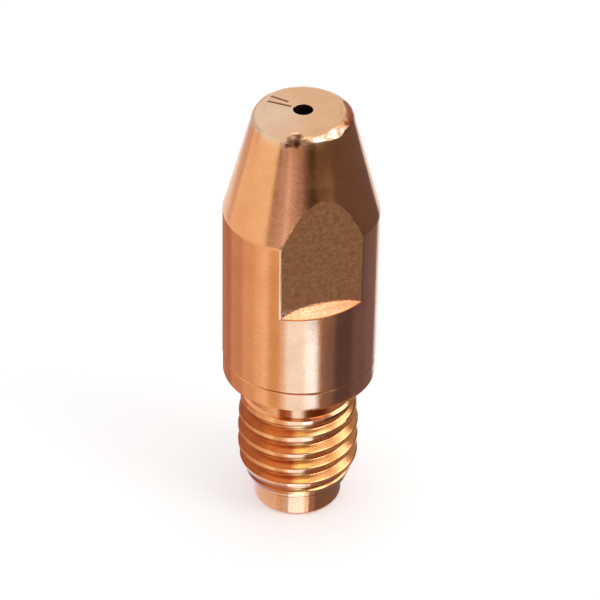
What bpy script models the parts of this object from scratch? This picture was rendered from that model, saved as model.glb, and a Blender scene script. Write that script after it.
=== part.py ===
"""Welding contact tip with an M8 thread, turned from one piece of copper bar.

The tip stands on its rear end with its nose up. The origin is the centre of the rear end face, +Z runs
towards the nose, and the two spanner flats face +Y and -Y. Lengths are in metres, angles in radians.

The tip is made in the order of the workshop: a blank is turned, the thread is cut on its shank with a
helical groove, the two flats are milled, and the wire bore is drilled through.
"""

import math

import bmesh
import bpy
from mathutils import Matrix, Vector

MM = 0.001

# Turned blank, measured from the rear end face
TIP_LENGTH = 30.0 * MM
BODY_DIAMETER = 10.0 * MM
SHANK_LENGTH = 10.3 * MM  # rear end face to the shoulder that seats on the holder
BAND_LENGTH = 1.4 * MM  # lower band of the body, turned in a second cut
BAND_STEP = 0.03 * MM  # how far that band lies under the body
SHOULDER_EDGE = 0.06 * MM

# Nose
CONE_LENGTH = 7.3 * MM
CONE_END_DIAMETER = 6.16 * MM  # where the cone would meet the end face, without the rounding
NOSE_ROUNDING = 0.7 * MM

# Thread on the shank
THREAD_DIAMETER = 7.95 * MM
THREAD_PITCH = 1.25 * MM
THREAD_ANGLE = math.radians(60)
THREAD_START = math.radians(180)  # where round the axis the groove begins, beside the pilot
CREST_SHARE = 1 / 8  # flat crest, as a share of the pitch
DEPTH_SHARE = 0.58  # groove depth, as a share of the pitch
THREAD_CHAMFER_LENGTH = 1.3 * MM
THREAD_CHAMFER_DEPTH = 0.55 * MM
THREAD_FADE_LENGTH = 2.3 * MM  # last turns towards the neck, which stand a little lower
THREAD_FADE_DEPTH = 0.24 * MM
NECK_LENGTH = 1.8 * MM  # plain stretch between the thread and the shoulder
NECK_DIAMETER = 7.1 * MM
RUN_OUT_GAP = 0.1 * MM  # end of the groove's middle line to the neck
RUN_OUT_TURNS = 0.4  # part of a turn in which the thread tool leaves the shank

# Pilot that leads the thread into its nut
PILOT_LENGTH = 1.85 * MM
PILOT_STEP = 0.34 * MM  # pilot under the thread's root
PILOT_CHAMFER = 0.2 * MM

# Spanner flats
ACROSS_FLATS = 8.36 * MM
LEDGE_BELOW_CONE = 5.1 * MM
LEDGE_TILT = math.radians(3)  # the mill stood a little askew: both ledges rise towards +X

# Wire bore
WIRE_DIAMETER = 1.0 * MM
WIRE_CLEARANCE = 0.24 * MM
LEAD_IN_DIAMETER = 3.0 * MM
LEAD_IN_ANGLE = math.radians(60)

# Fineness of the round forms
TURN_STEPS = 80
BORE_STEPS = 32
ROUNDING_STEPS = 6
CUT_OVERRUN = 1.0 * MM  # how far a cutter stands out of the blank

# Sizes that follow from those above
BODY_RADIUS = BODY_DIAMETER / 2
BAND_RADIUS = BODY_RADIUS - BAND_STEP
CONE_FOOT = TIP_LENGTH - CONE_LENGTH
CONE_END_RADIUS = CONE_END_DIAMETER / 2
FLAT_LEDGE = CONE_FOOT - LEDGE_BELOW_CONE
THREAD_RADIUS = THREAD_DIAMETER / 2
THREAD_DEPTH = THREAD_PITCH * DEPTH_SHARE
ROOT_RADIUS = THREAD_RADIUS - THREAD_DEPTH
NECK_RADIUS = NECK_DIAMETER / 2
PILOT_RADIUS = ROOT_RADIUS - PILOT_STEP
BORE_RADIUS = (WIRE_DIAMETER + WIRE_CLEARANCE) / 2
LEAD_IN_RADIUS = LEAD_IN_DIAMETER / 2

COPPER = (0.86, 0.47, 0.28, 1.0)
COPPER_ROUGHNESS = 0.25
SHARP_EDGE = math.radians(25)


def clear_scene():
    for obj in list(bpy.data.objects):
        bpy.data.objects.remove(obj, do_unlink=True)


def copper_material():
    material = bpy.data.materials.new("copper")
    material.use_nodes = True
    shader = material.node_tree.nodes["Principled BSDF"]
    shader.inputs["Base Color"].default_value = COPPER
    shader.inputs["Metallic"].default_value = 1.0
    shader.inputs["Roughness"].default_value = COPPER_ROUGHNESS
    material.diffuse_color = COPPER
    return material


def object_of(name, mesh):
    obj = bpy.data.objects.new(name, mesh)
    bpy.context.scene.collection.objects.link(obj)
    return obj


def mesh_of(name, bm):
    """The bmesh as a mesh whose faces point outwards. The bmesh is freed."""
    bmesh.ops.recalc_face_normals(bm, faces=bm.faces)
    mesh = bpy.data.meshes.new(name)
    bm.to_mesh(mesh)
    bm.free()
    return mesh


def turned_mesh(name, profile, steps):
    """A closed solid turned round Z, from (radius, height) points that begin and end on the axis."""
    bm = bmesh.new()
    points = [bm.verts.new((radius, 0.0, height)) for radius, height in profile]
    edges = [bm.edges.new(pair) for pair in zip(points, points[1:])]
    bmesh.ops.spin(
        bm,
        geom=points + edges,
        cent=Vector(),
        axis=Vector((0, 0, 1)),
        angle=math.tau,
        steps=steps,
        use_merge=True,
    )
    merge_gap = MM / 10000
    bmesh.ops.remove_doubles(bm, verts=bm.verts, dist=merge_gap)
    return mesh_of(name, bm)


def nose_rounding():
    """(radius, height) points of the arc between the cone and the end face, from the cone upwards."""
    lean = math.atan2(BODY_RADIUS - CONE_END_RADIUS, CONE_LENGTH)
    corner = math.pi / 2 - lean
    radius = CONE_END_RADIUS - NOSE_ROUNDING * math.tan(corner / 2)
    height = TIP_LENGTH - NOSE_ROUNDING
    points = []
    for step in range(ROUNDING_STEPS + 1):
        turn = lean + corner * step / ROUNDING_STEPS
        points.append(
            (radius + NOSE_ROUNDING * math.cos(turn), height + NOSE_ROUNDING * math.sin(turn))
        )
    return points


def blank_profile():
    """Half section of the blank, from the rear end face to the nose."""
    chamfer_top = PILOT_LENGTH + THREAD_CHAMFER_LENGTH
    neck_foot = SHANK_LENGTH - NECK_LENGTH
    faded_radius = THREAD_RADIUS - THREAD_FADE_DEPTH
    neck_slope = (faded_radius - NECK_RADIUS) * math.tan(THREAD_ANGLE / 2)
    band_top = SHANK_LENGTH + BAND_LENGTH
    pilot = [
        (0.0, 0.0),
        (PILOT_RADIUS - PILOT_CHAMFER, 0.0),
        (PILOT_RADIUS, PILOT_CHAMFER),
        (PILOT_RADIUS, PILOT_LENGTH),
    ]
    shank = [
        (THREAD_RADIUS - THREAD_CHAMFER_DEPTH, PILOT_LENGTH),
        (THREAD_RADIUS, chamfer_top),
        (THREAD_RADIUS, neck_foot - THREAD_FADE_LENGTH),
        (faded_radius, neck_foot),
        (NECK_RADIUS, neck_foot + neck_slope),
        (NECK_RADIUS, SHANK_LENGTH),
    ]
    body = [
        (BAND_RADIUS - SHOULDER_EDGE, SHANK_LENGTH),
        (BAND_RADIUS, SHANK_LENGTH + SHOULDER_EDGE),
        (BAND_RADIUS, band_top),
        (BODY_RADIUS, band_top + BAND_STEP),
        (BODY_RADIUS, CONE_FOOT),
    ]
    return pilot + shank + body + nose_rounding() + [(0.0, TIP_LENGTH)]


def thread_groove():
    """Cutter for the thread: the groove's section swept up a right-hand helix round the shank.

    It begins beside the pilot and rises out of the shank below the neck, so both ends stand in free air.
    """
    slope = math.tan(THREAD_ANGLE / 2)
    crest = THREAD_PITCH * CREST_SHARE
    overrun = crest / 2
    half_at_crest = (THREAD_PITCH - crest) / 2
    half_at_root = half_at_crest - THREAD_DEPTH * slope
    half_outside = half_at_crest + overrun * slope
    section = [
        (ROOT_RADIUS, half_at_root),
        (ROOT_RADIUS, -half_at_root),
        (THREAD_RADIUS + overrun, -half_outside),
        (THREAD_RADIUS + overrun, half_outside),
    ]
    start_height = PILOT_LENGTH - THREAD_PITCH / 2
    end_height = SHANK_LENGTH - NECK_LENGTH - RUN_OUT_GAP
    turns = (end_height - start_height) / THREAD_PITCH
    steps = round(turns * TURN_STEPS)
    run_out_start = steps - round(RUN_OUT_TURNS * TURN_STEPS)

    bm = bmesh.new()
    rings = []
    for step in range(steps + 1):
        angle = THREAD_START + math.tau * step / TURN_STEPS
        rise = start_height + THREAD_PITCH * step / TURN_STEPS
        around = Matrix.Rotation(angle, 3, "Z")
        run_out = max(0.0, (step - run_out_start) / (steps - run_out_start))
        out = run_out * (THREAD_DEPTH + overrun)
        rings.append([bm.verts.new(around @ Vector((r + out, 0.0, rise + z))) for r, z in section])
    for ring, following in zip(rings, rings[1:]):
        for corner in range(len(section)):
            after = (corner + 1) % len(section)
            bm.faces.new((ring[corner], ring[after], following[after], following[corner]))
    bm.faces.new(rings[0])
    bm.faces.new(rings[-1])
    return mesh_of("thread_groove", bm)


def flat_cutter(side):
    """Cutter for one spanner flat: a block open to the nose. The side is +1 or -1 along Y."""
    width = 2 * BODY_DIAMETER
    depth = BODY_RADIUS - ACROSS_FLATS / 2 + CUT_OVERRUN
    height = TIP_LENGTH - FLAT_LEDGE + CUT_OVERRUN
    ledge = Matrix.Translation((0.0, side * (ACROSS_FLATS + depth) / 2, FLAT_LEDGE))
    tilt = Matrix.Rotation(-LEDGE_TILT, 4, "Y")
    block = Matrix.Translation((0.0, 0.0, height / 2)) @ Matrix.Diagonal((width, depth, height, 1.0))
    bm = bmesh.new()
    bmesh.ops.create_cube(bm, size=1.0, matrix=ledge @ tilt @ block)
    return mesh_of("flat_cutter", bm)


def bore_cutter():
    """Cutter for the wire bore, with the cone at the rear end that leads the wire in."""
    slope = math.tan(LEAD_IN_ANGLE / 2)
    mouth_radius = LEAD_IN_RADIUS + CUT_OVERRUN * slope
    lead_in_depth = (LEAD_IN_RADIUS - BORE_RADIUS) / slope
    profile = [
        (0.0, -CUT_OVERRUN),
        (mouth_radius, -CUT_OVERRUN),
        (BORE_RADIUS, lead_in_depth),
        (BORE_RADIUS, TIP_LENGTH + CUT_OVERRUN),
        (0.0, TIP_LENGTH + CUT_OVERRUN),
    ]
    return turned_mesh("bore_cutter", profile, BORE_STEPS)


def cut(piece, name, cutter_mesh):
    """Takes the cutter's shape from the piece, with the cutter kept as a wire guide."""
    cutter = object_of(name, cutter_mesh)
    cutter.hide_render = True
    cutter.display_type = "WIRE"
    boolean = piece.modifiers.new(name, "BOOLEAN")
    boolean.operation = "DIFFERENCE"
    boolean.solver = "EXACT"
    boolean.object = cutter


def contact_tip():
    mesh = turned_mesh("contact_tip", blank_profile(), TURN_STEPS)
    mesh.materials.append(copper_material())
    mesh.shade_smooth()
    mesh.set_sharp_from_angle(angle=SHARP_EDGE)
    tip = object_of("contact_tip", mesh)
    cut(tip, "cut_thread", thread_groove())
    for side, name in ((-1, "cut_front_flat"), (1, "cut_back_flat")):
        cut(tip, name, flat_cutter(side))
    cut(tip, "cut_bore", bore_cutter())
    return tip


def main():
    clear_scene()
    contact_tip()


main()
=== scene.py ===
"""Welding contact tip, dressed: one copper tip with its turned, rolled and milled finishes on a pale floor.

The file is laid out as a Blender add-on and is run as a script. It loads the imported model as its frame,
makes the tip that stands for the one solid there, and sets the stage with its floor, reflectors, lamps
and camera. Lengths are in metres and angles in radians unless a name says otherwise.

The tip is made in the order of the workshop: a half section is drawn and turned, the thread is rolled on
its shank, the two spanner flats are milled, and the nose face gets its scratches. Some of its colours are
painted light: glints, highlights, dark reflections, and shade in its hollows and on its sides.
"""

import math

import bpy
from bpy.props import FloatProperty, FloatVectorProperty, PointerProperty
from bpy.types import Operator, Panel, PropertyGroup
from mathutils import Matrix, Vector, noise


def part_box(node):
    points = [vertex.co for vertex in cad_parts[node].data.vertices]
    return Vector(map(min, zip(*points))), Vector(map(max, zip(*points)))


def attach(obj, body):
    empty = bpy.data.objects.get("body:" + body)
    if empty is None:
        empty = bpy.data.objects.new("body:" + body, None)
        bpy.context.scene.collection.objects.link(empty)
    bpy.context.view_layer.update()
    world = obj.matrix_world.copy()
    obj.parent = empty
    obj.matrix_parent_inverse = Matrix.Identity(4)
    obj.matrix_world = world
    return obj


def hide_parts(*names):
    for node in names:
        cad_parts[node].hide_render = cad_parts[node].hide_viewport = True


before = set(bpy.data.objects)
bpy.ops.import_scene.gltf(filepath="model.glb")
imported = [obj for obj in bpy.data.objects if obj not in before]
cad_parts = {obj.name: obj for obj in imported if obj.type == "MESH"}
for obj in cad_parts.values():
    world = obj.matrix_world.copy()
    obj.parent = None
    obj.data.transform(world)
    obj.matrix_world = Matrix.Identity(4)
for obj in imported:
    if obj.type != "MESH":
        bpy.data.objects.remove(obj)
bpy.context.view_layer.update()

bl_info = {
    "name": "Welding contact tip",
    "version": (1, 0, 0),
    "blender": (4, 5, 0),
    "location": "View3D > Sidebar > Contact tip",
    "description": "Makes a turned copper contact tip and its studio stage",
    "category": "Add Mesh",
}

MM = 0.001
NODE = "contact_tip"
PIECE = "copper_tip"
NODE_LOW, NODE_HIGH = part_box(NODE)

# Fineness of the tip's mesh
TURN_STEPS = 176
MERGE_GAP = 0.001 * MM
RISE_ATTRIBUTE = "thread_rise"
UNDER_ATTRIBUTE = "thread_under"
SMOOTH_ANGLE = math.radians(32)

# Forms that go with the sizes below and are rarely changed
THREAD_START = math.radians(180)  # where round the axis the thread's groove begins
FLANK_SLOPE = 1 / math.tan(math.radians(30))
THREAD_FADE = 0.24 * MM  # how much lower the last turns stand beside the neck
ROLL_LAP = 0.08 * MM  # more than the thread's widest row, so its first lip ends on one level
CONE_ROWS = (0.5, 1.0, 1.6, 2.2, 2.8, 3.4, 4.6, 5.8)  # rows of points up the cone, in mm from its foot
PAINTED_GLINT = (1.0, 0.74, 0.55)  # colour of the painted glints: small bright specks of painted highlight on torn copper

# Two scratches that run from the edge of the nose face towards the bore, as (x, y) of each end
SCRATCHES = (
    ((-1.82 * MM, 1.58 * MM), (-0.60 * MM, 0.56 * MM)),
    ((-1.42 * MM, 2.05 * MM), (-0.60 * MM, 1.11 * MM)),
)

# Rubbed stretches of the nose's rounded edge: the four degrees round the axis between which each starts,
# is full, begins to fade and ends, its rise in degrees, and its depth in millimetres
NOSE_WEAR = (
    (-16, -2, 10, 18, 41, 0.025),
    (4, 18, 25, 34, 41, 0.07),
    (-35, -29, -22, -16, 60, 0.05),
)

# Films, marks, painted light and painted shade that lie at one place on the tip. Each has two heights in
# millimetres, at the first of which it starts and at the second it is full, and a stretch round the axis
# in degrees, measured from the front flat and positive towards +X: its middle, half its width and the
# softness of its ends.
# Painted light: the face's pale colour carried down the left of the rounding only
PALE_NOSE = ((28.95, 29.5), (-90, 50, 30))
# Painted dark reflection on the rim of the cone, under the nose's edge
RIM_DARK_REFLECTION = ((29.0, 29.3), (-30, 6, 7))
# Painted dark reflection on the front of the nose's edge
FACE_DARK_REFLECTION = ((30.0, 29.86), (-28, 5, 9))
# Painted shade in red patches on the right of the nose's edge
RIGHT_NOSE_SHADE = ((30.0, 29.8), (72, 30, 20))
TORN_STRIP = ((22.4, 23.2), (-29, 13, 5))
# Painted glints: where specks of painted highlight lie along the torn strip
STRIP_PAINTED_GLINTS = ((28.5, 25.5), (-26, 8, 4))
# Painted shade in the turned line low on the body
DARK_LINE = ((11.60, 11.66), (-26, 14, 16))
# Painted shade on the left of the thread's lead chamfer
CHAMFER_SHADE = ((3.3, 2.8), (-110, 55, 20))
# Painted shade in red on the left of the thread
LEFT_THREAD_SHADE = ((8.6, 7.6), (-90, 64, 8))
# Painted shade on the left flanks of the thread
LEFT_FLANK_SHADE = ((8.6, 7.6), (-106, 45, 14))

# The same for painted light and painted shade that reach along the whole stretch of their material
# Painted light: the nose face and its rounding paler on their left
PALE_FACE = (-90, 10, 80)
# Painted shade in two pockets of the neck, either side of the front
NECK_SHADE = ((-32, 5, 4), (1, 9, 9))
# Painted shade in red on the flanks right of the front
RIGHT_THREAD_SHADE = (22, 29, 7)
# Painted highlight on the front flanks of the thread
FRONT_FLANK_HIGHLIGHT = (-14, 7, 5)


class TipSizes(PropertyGroup):
    """Sizes of the tip. Heights are measured from the rear end face."""

    length: FloatProperty(
        name="Length",
        description="Rear end face to nose face",
        default=NODE_HIGH.z - NODE_LOW.z,
        unit="LENGTH",
    )
    body_diameter: FloatProperty(
        name="Body diameter",
        description="Widest turned diameter",
        default=NODE_HIGH.x - NODE_LOW.x,
        unit="LENGTH",
    )
    shank_length: FloatProperty(
        name="Shank length",
        description="Rear end face to the shoulder",
        default=10.3 * MM,
        unit="LENGTH",
    )
    band_length: FloatProperty(
        name="Band length",
        description="Lower band of the body, turned in a second cut",
        default=1.4 * MM,
        unit="LENGTH",
    )
    band_step: FloatProperty(
        name="Band step",
        description="How far the lower band lies under the body",
        default=0.03 * MM,
        unit="LENGTH",
    )
    cone_length: FloatProperty(
        name="Cone length",
        description="Coned nose, along the axis",
        default=7.3 * MM,
        unit="LENGTH",
    )
    cone_end_diameter: FloatProperty(
        name="Cone end diameter",
        description="Where the cone would meet the nose face without its rounding",
        default=6.16 * MM,
        unit="LENGTH",
    )
    nose_rounding: FloatProperty(
        name="Nose rounding",
        description="Radius between the cone and the nose face",
        default=0.7 * MM,
        unit="LENGTH",
    )
    thread_diameter: FloatProperty(
        name="Thread diameter",
        description="Over the crests",
        default=7.95 * MM,
        unit="LENGTH",
    )
    thread_pitch: FloatProperty(
        name="Thread pitch",
        description="Crest to crest along the axis",
        default=1.25 * MM,
        unit="LENGTH",
    )
    thread_depth: FloatProperty(
        name="Thread depth",
        description="Crest to root",
        default=0.50 * MM,
        unit="LENGTH",
    )
    pilot_length: FloatProperty(
        name="Pilot length",
        description="Plain end that leads the thread into its nut",
        default=1.85 * MM,
        unit="LENGTH",
    )
    pilot_diameter: FloatProperty(
        name="Pilot diameter",
        description="Plain end under the thread",
        default=5.82 * MM,
        unit="LENGTH",
    )
    neck_diameter: FloatProperty(
        name="Neck diameter",
        description="Plain stretch between the thread and the shoulder",
        default=7.1 * MM,
        unit="LENGTH",
    )
    neck_length: FloatProperty(
        name="Neck length",
        description="Plain stretch between the thread and the shoulder",
        default=1.8 * MM,
        unit="LENGTH",
    )
    across_flats: FloatProperty(
        name="Across flats",
        description="Distance between the two spanner flats",
        default=8.36 * MM,
        unit="LENGTH",
    )
    ledge_height: FloatProperty(
        name="Ledge height",
        description="Height of the ledges under the flats",
        default=17.6 * MM,
        unit="LENGTH",
    )
    ledge_tilt: FloatProperty(
        name="Ledge tilt",
        description="How far the mill stood askew",
        default=math.radians(3),
        unit="ROTATION",
    )
    bore_diameter: FloatProperty(
        name="Bore diameter",
        description="Bore for the welding wire",
        default=1.24 * MM,
        unit="LENGTH",
    )
    lead_in_diameter: FloatProperty(
        name="Lead-in diameter",
        description="Cone that leads the wire in at the rear end",
        default=3.0 * MM,
        unit="LENGTH",
    )


class CopperFinish(PropertyGroup):
    """Colours of the copper where it was turned, rolled, milled and faced, and colours that paint light and
    shade on it.
    """

    turned: FloatVectorProperty(
        name="Turned copper",
        description="Body and cone",
        default=(0.90, 0.41, 0.165),
        subtype="COLOR",
    )
    # Darker colour for random film on the body and cone; on the ledges it is painted shade along their inner
    # edge, and darker towards +X
    tarnish_and_shade: FloatVectorProperty(
        name="Tarnish",
        description="Darker film on the older surfaces",
        default=(0.72, 0.27, 0.10),
        subtype="COLOR",
    )
    rolled: FloatVectorProperty(
        name="Rolled thread",
        description="Flanks of the thread",
        default=(0.92, 0.46, 0.15),
        subtype="COLOR",
    )
    # Painted highlight: the brighter flank colour at the front of the thread
    rubbed: FloatVectorProperty(
        name="Rubbed thread",
        description="Flanks of the thread where they were rubbed clean",
        default=(1.0, 0.53, 0.16),
        subtype="COLOR",
    )
    milled: FloatVectorProperty(
        name="Milled flat",
        description="Spanner flats",
        default=(0.96, 0.445, 0.215),
        subtype="COLOR",
    )
    milled_film: FloatVectorProperty(
        name="Film on the flats",
        description="Small dark spots of the spanner flats",
        default=(0.52, 0.195, 0.075),
        subtype="COLOR",
    )
    fresh: FloatVectorProperty(
        name="Fresh copper",
        description="Nose face",
        default=(0.77, 0.46, 0.255),
        subtype="COLOR",
    )
    # Painted shade on the left flanks of the thread and the left of its lead chamfer
    shaded_flank: FloatVectorProperty(
        name="Stained thread",
        description="Flanks of the thread where the film is heaviest",
        default=(0.35, 0.078, 0.018),
        subtype="COLOR",
    )
    # Painted shade in red on both sides of the thread and on the right of the nose's edge
    painted_red_shade: FloatVectorProperty(
        name="Burnt copper",
        description="Red film on the thread and on one side of the nose",
        default=(0.60, 0.135, 0.03),
        subtype="COLOR",
    )
    # Painted highlight: the ledges' pale colour stands in for the light that they mirror; it also paints
    # light on the left of the nose face
    ledge: FloatVectorProperty(
        name="Ledge",
        description="Ledges under the flats, cut last",
        default=(0.88, 0.82, 0.72),
        subtype="COLOR",
    )
    handled: FloatVectorProperty(
        name="Handled nose",
        description="Nose face where it was touched",
        default=(0.64, 0.36, 0.19),
        subtype="COLOR",
    )
    scratch: FloatVectorProperty(
        name="Scratch",
        description="Bottom of the scratches in the nose face",
        default=(0.34, 0.14, 0.06),
        subtype="COLOR",
    )
    # Painted shade in the thread's roots, under its crests, in the neck and in the turned line
    painted_shade: FloatVectorProperty(
        name="Grime",
        description="Root of the thread and the neck",
        default=(0.38, 0.075, 0.012),
        subtype="COLOR",
    )
    # Painted dark reflection on the front of the nose's edge and the rim below it
    painted_dark_reflection: FloatVectorProperty(
        name="Bruise",
        description="Dark patch where the nose's edge was struck",
        default=(0.10, 0.03, 0.012),
        subtype="COLOR",
    )
    # Painted shade inside the wire bore and on the rear lead-in
    darkness: FloatVectorProperty(
        name="Bore soot",
        description="Inside of the wire bore",
        default=(0.06, 0.02, 0.01),
        subtype="COLOR",
    )


class StageSettings(PropertyGroup):
    """Camera and lamps."""

    camera_azimuth: FloatProperty(
        name="Camera azimuth",
        description="Turn of the camera round the tip, from the side of the front flat",
        default=math.radians(-18.83),
        unit="ROTATION",
    )
    camera_elevation: FloatProperty(
        name="Camera elevation",
        description="How far the camera looks down",
        default=math.radians(35.40),
        unit="ROTATION",
    )
    camera_roll: FloatProperty(
        name="Camera roll",
        description="Lean of the camera about its own view",
        default=math.radians(0.97),
        unit="ROTATION",
    )
    camera_distance: FloatProperty(
        name="Camera distance",
        description="Camera to the point that it looks at",
        default=211.7 * MM,
        unit="LENGTH",
    )
    camera_aim: FloatProperty(
        name="Aim height",
        description="Height on the axis that the camera looks at",
        default=15.54 * MM,
        unit="LENGTH",
    )
    lens: FloatProperty(
        name="Lens",
        description="Focal length in millimetres on a 36 mm sensor",
        default=197.3,
    )
    key_radiance: FloatProperty(
        name="Key lamp",
        description="Brightness of the key lamp's face, where 1 is white",
        default=3.0,
    )
    room_light: FloatProperty(
        name="Room light",
        description="Light from all round, where 1 is white",
        default=0.85,
    )


def deselect_all():
    bpy.ops.object.select_all(action="DESELECT")


def make_active(obj):
    """Makes the object the only selected one."""
    deselect_all()
    obj.select_set(True)
    bpy.context.view_layer.objects.active = obj


def enter_edit(obj, kind="VERT"):
    make_active(obj)
    bpy.ops.object.mode_set(mode="EDIT")
    bpy.ops.mesh.select_mode(type=kind)


def leave_edit():
    bpy.ops.object.mode_set(mode="OBJECT")


def apply_modifier(obj, name):
    make_active(obj)
    bpy.ops.object.modifier_apply(modifier=name)


def apply_place(obj):
    """Puts the object's place into its mesh."""
    make_active(obj)
    bpy.ops.object.transform_apply(location=True, rotation=True, scale=True)


def arc(center, radius, start, end, steps):
    """(radius, height) points along an arc, with the angles in degrees."""
    points = []
    for step in range(steps + 1):
        turn = math.radians(start + (end - start) * step / steps)
        points.append((center[0] + radius * math.cos(turn), center[1] + radius * math.sin(turn)))
    return points


def draw_profile(name, points):
    """An object with one open chain of edges through (radius, height) points beside the axis."""
    radius, height = points[0]
    deselect_all()
    bpy.ops.mesh.primitive_plane_add(size=MM, location=(radius, 0.0, height))
    obj = bpy.context.object
    obj.name = name
    apply_place(obj)
    enter_edit(obj)
    bpy.ops.mesh.select_all(action="SELECT")
    bpy.ops.mesh.merge(type="CENTER")
    for before, after in zip(points, points[1:]):
        step = (after[0] - before[0], 0.0, after[1] - before[1])
        bpy.ops.mesh.extrude_vertices_move(TRANSFORM_OT_translate={"value": step})
    leave_edit()
    return obj


def cone_lean(sizes):
    return math.atan2((sizes.body_diameter - sizes.cone_end_diameter) / 2, sizes.cone_length)


def body_profile(sizes):
    """Half section from the neck over the shoulder, body and cone to the foot of the rounding."""
    body = sizes.body_diameter / 2
    band = body - sizes.band_step
    neck = sizes.neck_diameter / 2
    faded = sizes.thread_diameter / 2 - THREAD_FADE
    corner = 0.025 * MM
    shoulder = sizes.shank_length
    band_top = shoulder + sizes.band_length
    cone_foot = sizes.length - sizes.cone_length
    neck_fillet = 0.12 * MM
    edge = 0.09 * MM
    line_depth = 0.05 * MM
    line_width = 0.07 * MM
    support = 0.12 * MM
    ledge_support = 0.30 * MM
    blend = 0.03 * MM
    lean = cone_lean(sizes)

    neck_foot = shoulder - sizes.neck_length
    slope = (faded - neck) / FLANK_SLOPE
    points = [
        (faded, neck_foot),
        (faded - corner, neck_foot + corner),
        (neck + corner, neck_foot + slope + corner / 2),
        (neck, neck_foot + slope + 2 * corner),
        (neck, shoulder - neck_fillet - support),
    ]
    points += arc((neck + neck_fillet, shoulder - neck_fillet), neck_fillet, 180, 90, 4)
    points += [(band - edge - support, shoulder)]
    points += arc((band - edge, shoulder + edge), edge, -90, 0, 4)
    points += [
        (band, shoulder + edge + support),
        (band, band_top - line_width - support),
        (band, band_top - line_width),
        (body - line_depth, band_top - line_width / 2),
        (body - line_depth, band_top),
        (body, band_top + line_width),
        (body, band_top + line_width + support),
        (body, sizes.ledge_height - 2 * ledge_support),
        (body, sizes.ledge_height - ledge_support),
        (body, cone_foot - blend - support),
        (body, cone_foot - blend),
        (body - blend * math.sin(lean), cone_foot + blend * math.cos(lean)),
        (
            body - (blend + support) * math.sin(lean),
            cone_foot + (blend + support) * math.cos(lean),
        ),
    ]
    for along in CONE_ROWS:
        points.append((body - along * MM * math.tan(lean), cone_foot + along * MM))
    return points


def nose_profile(sizes):
    """Half section from the cone over the rounded nose to the mouth of the bore."""
    lean = cone_lean(sizes)
    rounding = sizes.nose_rounding
    corner = math.pi / 2 - lean
    face_edge = sizes.cone_end_diameter / 2 - rounding * math.tan(corner / 2)
    center = (face_edge, sizes.length - rounding)
    support = 0.06 * MM
    mouth = 0.04 * MM
    bore = sizes.bore_diameter / 2
    round_steps = 14
    ring = 2.40 * MM
    ring_half = 0.035 * MM
    ring_depth = 0.012 * MM
    foot = (center[0] + rounding * math.cos(lean), center[1] + rounding * math.sin(lean))
    points = [(foot[0] + support * math.sin(lean), foot[1] - support * math.cos(lean))]
    points += arc(center, rounding, math.degrees(lean), 90, round_steps)
    points += [
        (ring + 2 * ring_half, sizes.length),
        (ring + ring_half, sizes.length),
        (ring, sizes.length - ring_depth),
        (ring - ring_half, sizes.length),
        (ring - 2 * ring_half, sizes.length),
        (bore + mouth + support, sizes.length),
    ]
    points += arc((bore + mouth, sizes.length - mouth), mouth, 90, 180, 3)
    return points


def rear_profile(sizes):
    """Half section down the bore, over its lead-in and the rear end face, and up the pilot."""
    bore = sizes.bore_diameter / 2
    lead_in = sizes.lead_in_diameter / 2
    pilot = sizes.pilot_diameter / 2
    edge = 0.40 * MM
    support = 0.05 * MM
    bored_length = 4 * MM
    lead_in_depth = (lead_in - bore) * math.sqrt(3)
    return [
        (bore, sizes.length - bored_length),
        (bore, lead_in_depth),
        (lead_in, 0.0),
        (pilot - edge - support, 0.0),
        *arc((pilot - edge, edge), edge, -90, 0, 4),
        (pilot, edge + support),
        (pilot, sizes.pilot_length - support),
        (pilot, sizes.pilot_length),
    ]


def turn_blank(sizes):
    """The tip without its threaded stretch, turned round Z from its half section."""
    blank = draw_profile(PIECE, body_profile(sizes) + nose_profile(sizes) + rear_profile(sizes))
    enter_edit(blank)
    bpy.ops.mesh.select_all(action="SELECT")
    bpy.ops.mesh.spin(steps=TURN_STEPS, angle=math.tau, center=(0, 0, 0), axis=(0, 0, 1))
    bpy.ops.mesh.select_all(action="SELECT")
    bpy.ops.mesh.remove_doubles(threshold=MERGE_GAP)
    leave_edit()
    return blank


def rolled_radius(sizes, offset):
    """Radius of the rolled thread at a height offset from the middle of its groove."""
    crest = sizes.thread_diameter / 2
    root = crest - sizes.thread_depth
    root_round = 0.05 * MM
    crest_round = 0.06 * MM
    flank_foot = 0.11 * MM
    flank_top = sizes.thread_pitch * 3 / 8
    slope = sizes.thread_depth / (flank_top - flank_foot)
    if offset <= flank_foot - root_round:
        return root
    if offset < flank_foot + root_round:
        return root + slope * (offset - flank_foot + root_round) ** 2 / (4 * root_round)
    if offset <= flank_top - crest_round:
        return root + slope * (offset - flank_foot)
    if offset < flank_top + crest_round:
        return crest - slope * (flank_top + crest_round - offset) ** 2 / (4 * crest_round)
    return crest


def soft_least(a, b, blend):
    """The lesser of two lengths, with a rounded passage between them."""
    near = max(blend - abs(a - b), 0.0)
    return min(a, b) - near * near / (4 * blend)


def stretch(value, low, high, at_low, at_high):
    """Runs evenly from at_low to at_high while the value goes from low to high, and stays there."""
    share = min(max((value - low) / (high - low), 0.0), 1.0)
    return at_low + (at_high - at_low) * share


def shank_limit(sizes, height):
    """Radius that the rolling left at this height: a lead chamfer below and lower turns above."""
    crest = sizes.thread_diameter / 2
    chamfer_length = 1.75 * MM
    chamfer_depth = 0.68 * MM
    fade_length = 2.3 * MM
    fade_top = sizes.shank_length - sizes.neck_length
    foot = sizes.pilot_length
    if height < foot + chamfer_length:
        return stretch(height, foot, foot + chamfer_length, crest - chamfer_depth, crest)
    return stretch(height, fade_top - fade_length, fade_top, crest, crest - THREAD_FADE)


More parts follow.
